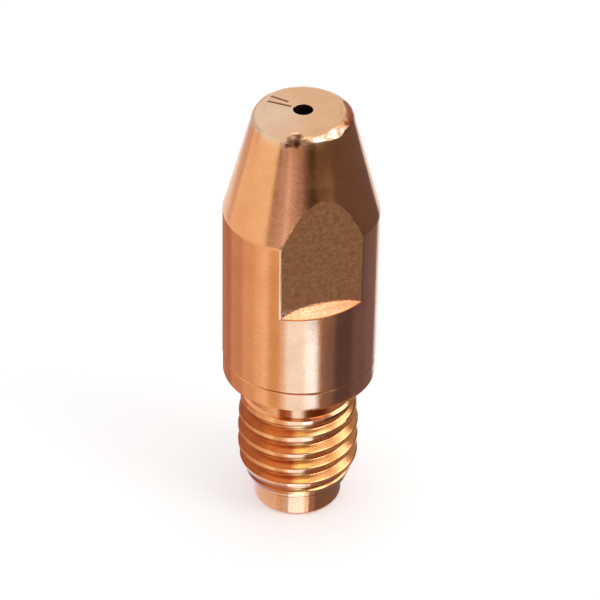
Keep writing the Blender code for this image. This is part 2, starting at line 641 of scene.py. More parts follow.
def groove_offset(sizes, angle, height):
    """Height of a point of the shank over the middle of the nearest turn of the groove."""
    pitch = sizes.thread_pitch
    groove = sizes.pilot_length - pitch / 2 + pitch * (angle - THREAD_START) / math.tau
    return (height - groove + pitch / 2) % pitch - pitch / 2


def thread_radius(sizes, angle, height):
    """Radius of the shank at an angle round the axis and a height."""
    offset = groove_offset(sizes, angle, height)
    crest = sizes.thread_diameter / 2
    lip = 0.1 * MM
    blend = 0.06 * MM
    run_out_turns = 0.4
    run_out_top = sizes.shank_length - sizes.neck_length - lip
    run_out_foot = run_out_top - run_out_turns * sizes.thread_pitch
    depth = stretch(height - offset, run_out_foot, run_out_top, 1.0, 0.0)
    rolled = crest - (crest - rolled_radius(sizes, abs(offset))) * depth
    return soft_least(rolled, shank_limit(sizes, height), blend)


def thread_rise(sizes, angle, height):
    """Where a point lies between the root, 0, and the crest, 1, of the thread."""
    return 2 * abs(groove_offset(sizes, angle, height)) / sizes.thread_pitch


def thread_under(sizes, angle, height):
    """1 on the flanks that face down, -1 on those that face up, 0 at the root and the crest."""
    return math.sin(math.tau * groove_offset(sizes, angle, height) / sizes.thread_pitch)


def thread_rows(sizes):
    """Heights of one pitch of rows from groove to groove, close together at the root and the crest."""
    half = sizes.thread_pitch / 2
    shares = (0.0, 0.06, 0.10, 0.14, 0.18, 0.22, 0.26, 0.35, 0.5, 0.65, 0.70, 0.75, 0.80, 0.85, 0.92)
    rising = [share * half for share in shares]
    falling = [2 * half - height for height in reversed(rising[1:])]
    return rising + [half] + falling + [2 * half]


def roll_thread(sizes):
    """The threaded stretch of the shank: one pitch swept up its helix, then trimmed to the shank."""
    pitch = sizes.thread_pitch
    first = sizes.pilot_length - pitch / 2 - pitch * THREAD_START / math.tau
    start = first - pitch
    top = sizes.shank_length - sizes.neck_length
    rows = [(thread_radius(sizes, 0.0, first + row), start + row) for row in thread_rows(sizes)]
    thread = draw_profile("rolled_thread", rows)
    screw = thread.modifiers.new("roll", "SCREW")
    screw.axis = "Z"
    screw.angle = math.tau
    screw.screw_offset = pitch
    screw.iterations = math.ceil((top - start) / pitch) + 1
    screw.steps = TURN_STEPS
    screw.render_steps = TURN_STEPS
    screw.use_merge_vertices = True
    screw.merge_threshold = MERGE_GAP
    apply_modifier(thread, "roll")
    bottom = sizes.pilot_length
    rise = thread.data.attributes.new(RISE_ATTRIBUTE, "FLOAT", "POINT")
    under = thread.data.attributes.new(UNDER_ATTRIBUTE, "FLOAT", "POINT")
    for vertex in thread.data.vertices:
        angle = math.atan2(vertex.co.y, vertex.co.x)
        height = min(max(vertex.co.z, bottom), top)
        rise.data[vertex.index].value = thread_rise(sizes, angle, height)
        under.data[vertex.index].value = thread_under(sizes, angle, height)
        radius = thread_radius(sizes, angle, height)
        if vertex.co.z < bottom - ROLL_LAP:
            radius = sizes.pilot_diameter / 2
        if vertex.co.z > top:
            radius = sizes.thread_diameter / 2 - THREAD_FADE
        vertex.co = (radius * math.cos(angle), radius * math.sin(angle), height)
    return thread


def join_pieces(piece, other):
    """Joins the other mesh to the piece and closes the seams between them."""
    make_active(piece)
    other.select_set(True)
    bpy.ops.object.join()
    enter_edit(piece)
    bpy.ops.mesh.select_all(action="SELECT")
    bpy.ops.mesh.remove_doubles(threshold=MERGE_GAP)
    bpy.ops.mesh.normals_make_consistent(inside=False)
    leave_edit()


def cut(piece, cutter):
    """Takes the cutter's shape from the piece, and gives the cut faces the cutter's materials."""
    boolean = piece.modifiers.new("cut", "BOOLEAN")
    boolean.operation = "DIFFERENCE"
    boolean.solver = "EXACT"
    boolean.material_mode = "TRANSFER"
    boolean.object = cutter
    apply_modifier(piece, "cut")
    bpy.data.objects.remove(cutter, do_unlink=True)


def flat_mill(sizes, side, materials):
    """The block that a mill sweeps to cut one spanner flat. The side is +1 or -1 along Y."""
    overrun = MM
    depth = sizes.body_diameter / 2 - sizes.across_flats / 2 + overrun
    height = sizes.length - sizes.ledge_height + overrun
    deselect_all()
    bpy.ops.mesh.primitive_cube_add(size=1.0)
    mill = bpy.context.object
    mill.scale = (2 * sizes.body_diameter, depth, height)
    mill.location = (0.0, side * (sizes.across_flats + depth) / 2, sizes.ledge_height + height / 2)
    apply_place(mill)
    pivot = Vector((0.0, 0.0, sizes.ledge_height))
    turn = Matrix.Rotation(-sizes.ledge_tilt, 4, "Y")
    mill.data.transform(Matrix.Translation(pivot) @ turn @ Matrix.Translation(-pivot))
    mill.data.materials.append(materials["milled_flat"])
    mill.data.materials.append(materials["milled_ledge"])
    for face in mill.data.polygons:
        face.material_index = 1 if face.normal.z < -0.5 else 0
    return mill


def scratch_tool(sizes, start, end, materials):
    """A slim sunk bar that leaves one straight scratch between two points of the nose face."""
    radius = 0.16 * MM
    sink = 0.032 * MM
    first, last = Vector((*start, 0.0)), Vector((*end, 0.0))
    middle = (first + last) / 2
    middle.z = sizes.length + radius - sink
    way = last - first
    deselect_all()
    bpy.ops.mesh.primitive_cylinder_add(
        vertices=12,
        radius=radius,
        depth=way.length,
        location=middle,
        rotation=way.to_track_quat("Z", "Y").to_euler(),
    )
    tool = bpy.context.object
    apply_place(tool)
    tool.data.materials.append(materials["scratch"])
    return tool


def wear_nose(piece, sizes):
    """Presses the rounded edge of the nose in: a little all round, and flat where it was rubbed most."""
    depth = 0.05 * MM
    patch = 0.75 * MM
    reach = 1.1 * MM
    full = 0.5 * MM
    margin = 0.4 * MM
    blend = 0.3 * MM
    top = sizes.length
    rounding = sizes.nose_rounding
    inner = sizes.cone_end_diameter / 2 - rounding * math.tan((math.pi / 2 - cone_lean(sizes)) / 2)
    for vertex in piece.data.vertices:
        radius = math.hypot(vertex.co.x, vertex.co.y)
        if vertex.co.z < top - reach or radius < inner - margin:
            continue
        press = min(max(0.5 + 0.5 * noise.fractal(vertex.co / patch, 1.0, 2.0, 3), 0.0), 1.0)
        share = stretch(radius, inner, inner + blend, 0.0, 1.0)
        share *= stretch(vertex.co.z, top - reach, top - full, 0.0, 1.0)
        turn = math.degrees(math.atan2(vertex.co.x, -vertex.co.y))
        outwards = Vector((vertex.co.x / radius, vertex.co.y / radius, 0.0))
        for start, whole, fades, end, rise, cut_depth in NOSE_WEAR:
            lean = math.radians(rise)
            normal = outwards * math.cos(lean) + Vector((0.0, 0.0, math.sin(lean)))
            bite = stretch(turn, start, whole, 0.0, 1.0) * stretch(turn, fades, end, 1.0, 0.0)
            bite *= cut_depth * MM * (0.7 + 0.6 * press)
            limit = inner * math.cos(lean) + (top - rounding) * math.sin(lean) + rounding - bite
            over = vertex.co.dot(normal) - limit
            if bite > 0 and over > 0:
                vertex.co -= normal * over
        vertex.co -= vertex.normal * depth * share * press


def face_finish(sizes, face):
    """Name of the material for one face of the turned tip."""
    slack = 0.01 * MM
    faced_height = 0.6 * MM
    center = face.center
    radius = math.hypot(center.x, center.y)
    in_bore = radius < sizes.bore_diameter / 2 + slack
    over_lead_in = center.z < sizes.pilot_length and radius < sizes.lead_in_diameter / 2
    if in_bore or (over_lead_in and face.normal.z < -0.1):
        return "shaded_bore"
    if center.z > sizes.length - faced_height:
        return "faced_nose"
    if sizes.pilot_length < center.z < sizes.shank_length - sizes.neck_length:
        return "rolled_thread"
    return "turned_copper"


def paint_faces(piece, sizes, materials):
    """Gives each face of the turned tip the material of its stretch."""
    names = ("turned_copper", "rolled_thread", "faced_nose", "shaded_bore")
    for name in names:
        piece.data.materials.append(materials[name])
    for face in piece.data.polygons:
        face.material_index = names.index(face_finish(sizes, face))


def material_slot(piece, name):
    return [slot.material.name for slot in piece.material_slots].index(name)


def break_mill_edges(piece, sizes):
    """Takes the sharp arris off the edges of the milled flats, and keeps the flats themselves crisp."""
    arris = 0.07 * MM
    arch_clearance = 1.3 * MM
    arch_foot = sizes.length - sizes.cone_length + arch_clearance
    milled = {material_slot(piece, "milled_flat"), material_slot(piece, "milled_ledge")}
    enter_edit(piece, "FACE")
    bpy.ops.mesh.select_all(action="DESELECT")
    leave_edit()
    for face in piece.data.polygons:
        face.select = face.material_index in milled
    enter_edit(piece, "FACE")
    bpy.ops.mesh.region_to_loop()
    leave_edit()
    for edge in piece.data.edges:
        highest = max(piece.data.vertices[index].co.z for index in edge.vertices)
        edge.select = edge.select and highest < arch_foot
    enter_edit(piece, "EDGE")
    bpy.ops.mesh.bevel(offset=arris, segments=2, clamp_overlap=False, material=0)
    leave_edit()


def plane_shading(piece):
    """Shades the milled and scratched faces as true planes."""
    planes = {material_slot(piece, name) for name in ("milled_flat", "milled_ledge", "scratch")}
    for face in piece.data.polygons:
        face.select = face.material_index in planes
    enter_edit(piece, "FACE")
    bpy.ops.mesh.faces_shade_flat()
    leave_edit()


def make_tip(context):
    """The whole tip as one closed mesh."""
    sizes = context.scene.tip_sizes
    materials = copper_materials(context.scene.copper_finish)
    piece = turn_blank(sizes)
    join_pieces(piece, roll_thread(sizes))
    wear_nose(piece, sizes)
    paint_faces(piece, sizes, materials)
    for side in (-1, 1):
        cut(piece, flat_mill(sizes, side, materials))
    for start, end in SCRATCHES:
        cut(piece, scratch_tool(sizes, start, end, materials))
    break_mill_edges(piece, sizes)
    make_active(piece)
    bpy.ops.object.shade_smooth_by_angle(angle=SMOOTH_ANGLE)
    plane_shading(piece)
    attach(piece, "root")
    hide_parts(NODE)


class NodeMaker:
    """Adds nodes and links to one node tree."""

    def __init__(self, tree):
        self.tree = tree

    def add(self, kind, values=None, **settings):
        """A new node. Values are socket values or sockets to link, by name or number."""
        node = self.tree.nodes.new(kind)
        for name, value in settings.items():
            setattr(node, name, value)
        for name, value in (values or {}).items():
            socket = node.inputs[name]
            if isinstance(value, bpy.types.NodeSocket):
                self.tree.links.new(value, socket)
            else:
                socket.default_value = value
        return node

    def math(self, operation, first, second=0.0):
        return self.add("ShaderNodeMath", {0: first, 1: second}, operation=operation).outputs[0]

    def remap(self, value, low, high, at_low=0.0, at_high=1.0):
        values = {
            "Value": value,
            "From Min": low,
            "From Max": high,
            "To Min": at_low,
            "To Max": at_high,
        }
        return self.add("ShaderNodeMapRange", values).outputs["Result"]

    def mix(self, factor, first, second):
        """A colour between two others. The colour sockets of a Mix node are 6 and 7, and its output is 2."""
        node = self.add("ShaderNodeMix", {0: factor, 6: first, 7: second}, data_type="RGBA")
        return node.outputs[2]


def new_group(name, inputs, outputs):
    """A node group with named sockets. Inputs are (name, default), and outputs are names."""
    tree = bpy.data.node_groups.new(name, "ShaderNodeTree")
    for label, default in inputs:
        socket = tree.interface.new_socket(label, in_out="INPUT", socket_type="NodeSocketFloat")
        socket.default_value = default
    for label in outputs:
        tree.interface.new_socket(label, in_out="OUTPUT", socket_type="NodeSocketFloat")
    return tree


def lathe_marks_group():
    """Fine rings that the tool left: lines round a cylinder or cone, and rings on an end face."""
    inputs = (("Spacing", 0.05 * MM), ("Broad Spacing", 0.4 * MM))
    tree = new_group("lathe_marks", inputs, ("Height", "Broad"))
    make = NodeMaker(tree)
    ends = make.add("NodeGroupInput")
    place = make.add("ShaderNodeTexCoord").outputs["Object"]
    parts = make.add("ShaderNodeSeparateXYZ", {0: place})
    x_square = make.math("MULTIPLY", parts.outputs[0], parts.outputs[0])
    y_square = make.math("MULTIPLY", parts.outputs[1], parts.outputs[1])
    radius = make.math("SQRT", make.math("ADD", x_square, y_square))
    along = make.math("ADD", parts.outputs[2], radius)
    for label, spacing in (("Height", "Spacing"), ("Broad", "Broad Spacing")):
        turns = make.math("DIVIDE", along, ends.outputs[spacing])
        values = {"W": turns, "Scale": 1.0, "Detail": 2.0}
        make.add("ShaderNodeTexNoise", values, name=label, noise_dimensions="1D")
    results = {label: tree.nodes[label].outputs[0] for label in ("Height", "Broad")}
    make.add("NodeGroupOutput", results)
    return tree


def patches_group():
    """Cloudy patches of film and handling."""
    inputs = (("Size", 2.0 * MM), ("Low", 0.35), ("High", 0.65))
    tree = new_group("patches", inputs, ("Mask",))
    make = NodeMaker(tree)
    ends = make.add("NodeGroupInput")
    place = make.add("ShaderNodeTexCoord").outputs["Object"]
    scale = make.math("DIVIDE", 1.0, ends.outputs["Size"])
    values = {"Vector": place, "Scale": scale, "Detail": 4.0, "Roughness": 0.6}
    clouds = make.add("ShaderNodeTexNoise", values)
    mask = make.remap(clouds.outputs[0], ends.outputs["Low"], ends.outputs["High"])
    make.add("NodeGroupOutput", {"Mask": mask})
    return tree


def grain_group():
    """Small uneven grain of a surface that was torn or rubbed, rather than cut clean."""
    tree = new_group("grain", (("Size", 0.1 * MM), ("Speck Share", 0.45)), ("Height", "Specks"))
    make = NodeMaker(tree)
    ends = make.add("NodeGroupInput")
    place = make.add("ShaderNodeTexCoord").outputs["Object"]
    scale = make.math("DIVIDE", 1.0, ends.outputs["Size"])
    values = {"Vector": place, "Scale": scale, "Detail": 3.0, "Roughness": 0.65}
    grains = make.add("ShaderNodeTexNoise", values)
    speck_scale = make.math("MULTIPLY", scale, ends.outputs["Speck Share"])
    cells = make.add("ShaderNodeTexVoronoi", {"Vector": place, "Scale": speck_scale})
    # The specks mark where painted glints go
    specks = make.remap(cells.outputs["Distance"], 0.10, 0.22, 1.0, 0.0)
    make.add("NodeGroupOutput", {"Height": grains.outputs[0], "Specks": specks})
    return tree


def sector_group():
    """A stretch of the way round the axis. Turn is measured from the front flat, positive towards +X."""
    inputs = (("Turn", 0.0), ("Half Width", 0.5), ("Softness", 0.1))
    tree = new_group("sector", inputs, ("Mask",))
    make = NodeMaker(tree)
    ends = make.add("NodeGroupInput")
    place = make.add("ShaderNodeTexCoord").outputs["Object"]
    parts = make.add("ShaderNodeSeparateXYZ", {0: place})
    forward = make.math("MULTIPLY", parts.outputs[1], -1.0)
    around = make.math("ARCTAN2", parts.outputs[0], forward)
    away = make.math("ABSOLUTE", make.math("SUBTRACT", around, ends.outputs["Turn"]))
    edge = make.math("ADD", ends.outputs["Half Width"], ends.outputs["Softness"])
    mask = make.remap(away, ends.outputs["Half Width"], edge, 1.0, 0.0)
    make.add("NodeGroupOutput", {"Mask": mask})
    return tree


def height_mask(make, low, high):
    """Rises from 0 to 1 between two heights on the tip."""
    place = make.add("ShaderNodeTexCoord").outputs["Object"]
    parts = make.add("ShaderNodeSeparateXYZ", {0: place})
    return make.remap(parts.outputs[2], low, high)


def place_group(make, tree, **values):
    """The group as a node. Values are its sockets' names with _ for each space."""
    node = make.add("ShaderNodeGroup", None, node_tree=tree)
    for name, value in values.items():
        node.inputs[name.replace("_", " ")].default_value = value
    return node


class Copper:
    """One bare copper material: its shader, and the nodes that the finishes share."""

    def __init__(self, name, groups, coat=0.0):
        self.material = bpy.data.materials.new(name)
        self.material.use_nodes = True
        self.groups = groups
        self.make = NodeMaker(self.material.node_tree)
        self.shader = self.material.node_tree.nodes["Principled BSDF"]
        self.shader.inputs["Metallic"].default_value = 1.0
        self.shader.inputs["Coat Weight"].default_value = coat
        self.shader.inputs["Coat Roughness"].default_value = 0.08
        self.normal = None

    def link(self, output, socket):
        self.material.node_tree.links.new(output, self.shader.inputs[socket])

    def patches(self, share, **values):
        mask = place_group(self.make, self.groups["patches"], **values).outputs["Mask"]
        return self.make.math("MULTIPLY", mask, share)

    def film(self, broad_share, broad_size, fine_share, fine_size):
        """Cloudy film in two sizes of patch."""
        broad = self.patches(broad_share, Size=broad_size)
        fine = self.patches(fine_share, Size=fine_size)
        return self.make.math("ADD", broad, fine)

    def sector(self, turn, half_width, softness):
        """Mask of a stretch round the axis, told in degrees from the front flat."""
        values = {
            "Turn": math.radians(turn),
            "Half_Width": math.radians(half_width),
            "Softness": math.radians(softness),
        }
        return place_group(self.make, self.groups["sector"], **values).outputs["Mask"]

    def spot(self, place):
        """Mask of one of the places above: two heights in millimetres and a stretch round the axis."""
        (low, high), around = place
        height = height_mask(self.make, low * MM, high * MM)
        return self.make.math("MULTIPLY", height, self.sector(*around))

    def painted_dark_reflection(self, place):
        """Mask of a painted dark reflection, broken up by small clouds."""
        broken = self.make.math("ADD", self.spot(place), self.patches(0.5, Size=0.6 * MM))
        return self.make.remap(broken, 0.65, 1.35)

    def bump(self, height, distance):
        """Adds one layer of relief over those before it."""
        values = {"Strength": 1.0, "Distance": distance, "Height": height}
        if self.normal is not None:
            values["Normal"] = self.normal
        self.normal = self.make.add("ShaderNodeBump", values).outputs["Normal"]
        self.link(self.normal, "Normal")

    def grain(self, size, distance):
        """Fine grain over the whole material."""
        node = place_group(self.make, self.groups["grain"], Size=size)
        self.bump(node.outputs["Height"], distance)


def opaque(color):
    return (*color, 1.0)


def painted_shade_mask(copper):
    """Painted shade in two pockets of the neck under the shoulder, and in the turned line low on the body.
    """
    make = copper.make
    over_thread = height_mask(make, 8.3 * MM, 8.6 * MM)
    under_shoulder = height_mask(make, 10.3 * MM, 10.2 * MM)
    neck = make.math("MULTIPLY", over_thread, under_shoulder)
    left, right = (copper.sector(*around) for around in NECK_SHADE)
    neck = make.math("MULTIPLY", neck, make.math("MAXIMUM", left, right))
    under_line_top = height_mask(make, 11.76 * MM, 11.71 * MM)
    line = make.math("MULTIPLY", under_line_top, copper.spot(DARK_LINE))
    return make.math("MAXIMUM", neck, line)


def turned_copper(groups, finish):
    """Body and cone: fine rings, a little film and a torn strip, with painted glints, shade and a dark
    reflection.
    """
    copper = Copper("turned_copper", groups, coat=0.15)
    make = copper.make
    film = copper.film(
        broad_share=0.3,
        broad_size=1.6 * MM,
        fine_share=0.5,
        fine_size=0.09 * MM,
    )
    color = make.mix(film, opaque(finish.turned), opaque(finish.tarnish_and_shade))
    # Painted light on the left of the rounding
    color = make.mix(copper.spot(PALE_NOSE), color, opaque(finish.fresh))
    # Painted shade in the neck and in the turned line
    color = make.mix(painted_shade_mask(copper), color, opaque(finish.painted_shade))
    # Painted dark reflection on the rim
    color = make.mix(copper.painted_dark_reflection(RIM_DARK_REFLECTION), color, opaque(finish.painted_dark_reflection))
    ragged = make.remap(copper.patches(1.0, Size=0.4 * MM), 0.0, 1.0, 0.35, 1.0)
    torn = make.math("MULTIPLY", copper.spot(TORN_STRIP), ragged)
    tear = place_group(make, groups["grain"], Size=0.08 * MM)
    # Painted glints on the torn strip
    painted_glint = make.math("MULTIPLY", tear.outputs["Specks"], make.math("MULTIPLY", torn, torn))
    painted_glint = make.math("MULTIPLY", painted_glint, copper.spot(STRIP_PAINTED_GLINTS))
    copper.link(make.mix(painted_glint, color, opaque(PAINTED_GLINT)), "Base Color")
    lathe = place_group(make, groups["lathe_marks"], Spacing=0.035 * MM, Broad_Spacing=0.9 * MM)
    copper.link(make.remap(lathe.outputs["Broad"], 0.3, 0.7, 0.10, 0.15), "Roughness")
    copper.bump(lathe.outputs["Height"], distance=0.0008 * MM)
    copper.grain(size=0.06 * MM, distance=0.0034 * MM)
    copper.bump(painted_glint, distance=0.006 * MM)
    tears = make.math("MULTIPLY", tear.outputs["Height"], torn)
    copper.bump(tears, distance=0.0045 * MM)
    return copper.material


def rolled_thread(groups, finish):
    """Thread: burnished crests, painted highlight on the front flanks, painted shade on the sides and in the
    roots.
    """
    copper = Copper("rolled_thread", groups)
    make = copper.make
    rise = make.add("ShaderNodeAttribute", None, attribute_name=RISE_ATTRIBUTE).outputs["Fac"]
    under = make.add("ShaderNodeAttribute", None, attribute_name=UNDER_ATTRIBUTE).outputs["Fac"]
    crest = make.remap(rise, 0.70, 0.78)
    # Painted shade in the root
    root = make.remap(rise, 0.14, 0.28, 0.50, 0.0)
    patchy = make.remap(copper.patches(1.0, Size=1.0 * MM), 0.0, 1.0, 0.8, 1.0)
    # Painted shade on the left of the lead chamfer, where the crests take more of the flank colour
    chamfer = make.math("MULTIPLY", copper.spot(CHAMFER_SHADE), 0.5)
    # Painted shade in red on the left and the right of the thread
    painted_red_shade = make.math("MULTIPLY", copper.spot(LEFT_THREAD_SHADE), patchy)
    painted_red_shade = make.math("MAXIMUM", painted_red_shade, make.math("MULTIPLY", copper.sector(*RIGHT_THREAD_SHADE), 0.35))
    # Painted shade on the left flanks
    shaded_flank = make.math("MULTIPLY", copper.spot(LEFT_FLANK_SHADE), patchy)
    shaded_flank = make.math("MAXIMUM", shaded_flank, chamfer)
    # Painted highlight on the front flanks
    flank = make.mix(copper.sector(*FRONT_FLANK_HIGHLIGHT), opaque(finish.rolled), opaque(finish.rubbed))
    flank = make.mix(painted_red_shade, flank, opaque(finish.painted_red_shade))
    flank = make.mix(shaded_flank, flank, opaque(finish.shaded_flank))
    flank = make.mix(root, flank, opaque(finish.painted_shade))
    color = make.mix(make.math("SUBTRACT", crest, chamfer), flank, opaque(finish.turned))
    # Painted shade under each crest, on the flank that faces down
    lip = make.math("MULTIPLY", make.remap(under, 0.35, 0.60, 0.0, 0.8), make.remap(rise, 0.66, 0.71))
    copper.link(make.mix(lip, color, opaque(finish.painted_shade)), "Base Color")
    copper.link(make.remap(crest, 0.0, 1.0, 0.22, 0.12), "Roughness")
    grain = place_group(make, groups["grain"], Size=0.12 * MM)
    relief = make.math("MULTIPLY", grain.outputs["Height"], make.remap(crest, 0.0, 1.0, 1.0, 0.2))
    copper.bump(relief, distance=0.005 * MM)
    return copper.material


def faced_nose(groups, finish):
    """Nose face and its rounding: fresh copper with fine rings, and painted light, shade and a dark
    reflection.
    """
    copper = Copper("faced_nose", groups, coat=0.1)
    make = copper.make
    film = copper.film(
        broad_share=0.4,
        broad_size=1.4 * MM,
        fine_share=0.35,
        fine_size=0.08 * MM,
    )
    face = make.mix(film, opaque(finish.fresh), opaque(finish.handled))
    cloudy = copper.patches(1.0, Size=0.6 * MM, Low=0.25, High=0.6)
    # Painted shade in red patches on the right of the edge
    brown = make.math("MULTIPLY", copper.spot(RIGHT_NOSE_SHADE), cloudy)
    face = make.mix(brown, face, opaque(finish.painted_red_shade))
    # Painted light: paler on the left
    pale = make.math("MULTIPLY", copper.sector(*PALE_FACE), 0.24)
    face = make.mix(pale, face, opaque(finish.ledge))
    # Painted dark reflection on the front of the edge
    dark_reflection_mask = copper.painted_dark_reflection(FACE_DARK_REFLECTION)
    copper.link(make.mix(dark_reflection_mask, face, opaque(finish.painted_dark_reflection)), "Base Color")
    lathe = place_group(make, groups["lathe_marks"], Spacing=0.06 * MM, Broad_Spacing=0.5 * MM)
    gloss = make.remap(lathe.outputs["Broad"], 0.3, 0.7, 0.15, 0.24)
    copper.link(make.math("ADD", gloss, make.math("MULTIPLY", dark_reflection_mask, 0.25)), "Roughness")
    copper.bump(lathe.outputs["Height"], distance=0.0012 * MM)
    copper.grain(size=0.10 * MM, distance=0.005 * MM)
    return copper.material


def milled_flat(groups, finish):
    """Spanner flats: satin and mottled, without rings, and torn a little where they meet the ledge."""
    copper = Copper("milled_flat", groups)
    make = copper.make
    mottle = copper.film(
        broad_share=0.5,
        broad_size=0.35 * MM,
        fine_share=0.5,
        fine_size=0.07 * MM,
    )
    color = make.mix(mottle, opaque(finish.milled), opaque(finish.milled_film))
    grain = place_group(make, groups["grain"], Size=0.07 * MM)
    # Painted glints: specks of painted highlight
    painted_glint = make.math("MULTIPLY", grain.outputs["Specks"], copper.patches(1.0, Size=0.6 * MM))
    copper.link(make.mix(painted_glint, color, opaque(PAINTED_GLINT)), "Base Color")
    copper.link(make.remap(mottle, 0.0, 1.0, 0.072, 0.098), "Roughness")
    copper.bump(grain.outputs["Height"], distance=0.001 * MM)
    tear = place_group(make, groups["grain"], Size=0.22 * MM)
    foot = height_mask(make, 18.4 * MM, 18.0 * MM)
    tears = make.math("MULTIPLY", tear.outputs["Height"], foot)
    copper.bump(tears, distance=0.02 * MM)
    return copper.material


def milled_ledge(groups, finish):
    """Ledges under the flats: torn along the mill's way, with a painted pale highlight and painted shade."""
    copper = Copper("milled_ledge", groups)
    make = copper.make
    track_spacing = 0.09 * MM
    flat_foot = 4.20 * MM
    fades = 0.12 * MM
    place = make.add("ShaderNodeTexCoord").outputs["Object"]
    parts = make.add("ShaderNodeSeparateXYZ", {0: place})
    away = make.math("ABSOLUTE", parts.outputs[1])
    across = {"W": make.math("DIVIDE", away, track_spacing), "Scale": 1.0, "Detail": 2.0}
    tracks = make.add("ShaderNodeTexNoise", across, noise_dimensions="1D").outputs[0]
    streaks = make.remap(tracks, 0.45, 0.65, 0.0, 0.7)
    # Painted highlight: the ledge's pale colour, with the mill's tracks in the nose face's colour
    color = make.mix(streaks, opaque(finish.ledge), opaque(finish.fresh))
    # Darker towards +X
    older = make.math("MULTIPLY", make.remap(parts.outputs[0], -0.6 * MM, 2.4 * MM), 0.65)
    color = make.mix(older, color, opaque(finish.tarnish_and_shade))
    # Painted shade along the inner edge, where the ledge meets the flat
    ragged = make.math("ADD", away, copper.patches(0.15 * MM, Size=0.3 * MM))
    inner = make.remap(ragged, flat_foot, flat_foot + fades, 0.3, 0.0)
    copper.link(make.mix(inner, color, opaque(finish.tarnish_and_shade)), "Base Color")
    copper.shader.inputs["Roughness"].default_value = 0.22
    copper.bump(tracks, distance=0.003 * MM)
    copper.grain(size=0.10 * MM, distance=0.0012 * MM)
    return copper.material


def dull_copper(name, groups, base, roughness):
    """Bore and scratches, where little light comes back."""
    copper = Copper(name, groups)
    make = copper.make
    dark = tuple(channel * 0.5 for channel in base)
    darkness = copper.patches(1.0, Size=0.3 * MM)
    copper.link(make.mix(darkness, opaque(base), opaque(dark)), "Base Color")
    copper.shader.inputs["Roughness"].default_value = roughness
    return copper.material


def copper_materials(finish):
    """Every material of the tip, by name."""
    groups = {
        "lathe_marks": lathe_marks_group(),
        "patches": patches_group(),
        "grain": grain_group(),
        "sector": sector_group(),
    }
    made = [
        turned_copper(groups, finish),
        rolled_thread(groups, finish),
        faced_nose(groups, finish),
        milled_flat(groups, finish),
        milled_ledge(groups, finish),
        dull_copper("scratch", groups, finish.scratch, roughness=0.4),
        # The bore's near black colour is painted shade
        dull_copper("shaded_bore", groups, finish.darkness, roughness=0.5),
    ]
    return {material.name: material for material in made}


def to_side(context, turn):
    """Level direction from the tip, turned from the camera's side towards the right of the picture."""
    heading = context.scene.stage_settings.camera_azimuth + turn
    return Vector((math.sin(heading), -math.cos(heading), 0.0))


def glow_material(name, radiance, tint):
    material = bpy.data.materials.new(name)
    material.use_nodes = True
    tree = material.node_tree
    tree.nodes.clear()
    make = NodeMaker(tree)
    glow = make.add("ShaderNodeEmission", {"Color": opaque(tint), "Strength": radiance})
    make.add("ShaderNodeOutputMaterial", {"Surface": glow.outputs[0]})
    return material


def only_in_reflections(obj):
    obj.visible_camera = False
    obj.visible_diffuse = False
    obj.visible_transmission = False
    obj.visible_volume_scatter = False
    obj.visible_shadow = False


def make_card(name, rows, radiance, tint):
    """A card through rows of points, seen only in reflections."""
    mesh = bpy.data.meshes.new(name)
    count = len(rows[0])
    corners = [point for row in rows for point in row]
    faces = []
    for line in range(len(rows) - 1):
        for i in range(count - 1):
            first = line * count + i
            faces.append((first, first + 1, first + count + 1, first + count))
    mesh.from_pydata(corners, [], faces)
    card = bpy.data.objects.new(name, mesh)
    bpy.context.scene.collection.objects.link(card)
    mesh.materials.append(glow_material(name, radiance, tint))
    only_in_reflections(card)


WHITE = (1.0, 1.0, 1.0)
WARM = (1.0, 0.86, 0.80)
BROWN = (1.0, 0.74, 0.68)
ROSE = (1.0, 0.86, 1.0)
PALE_ROSE = (1.0, 0.98, 1.4)
COOL = (0.56, 0.70, 1.0)
SKY = (0.38, 0.60, 1.05)
ICE = (0.26, 0.48, 1.0)
LILAC = (1.0, 0.93, 1.45)

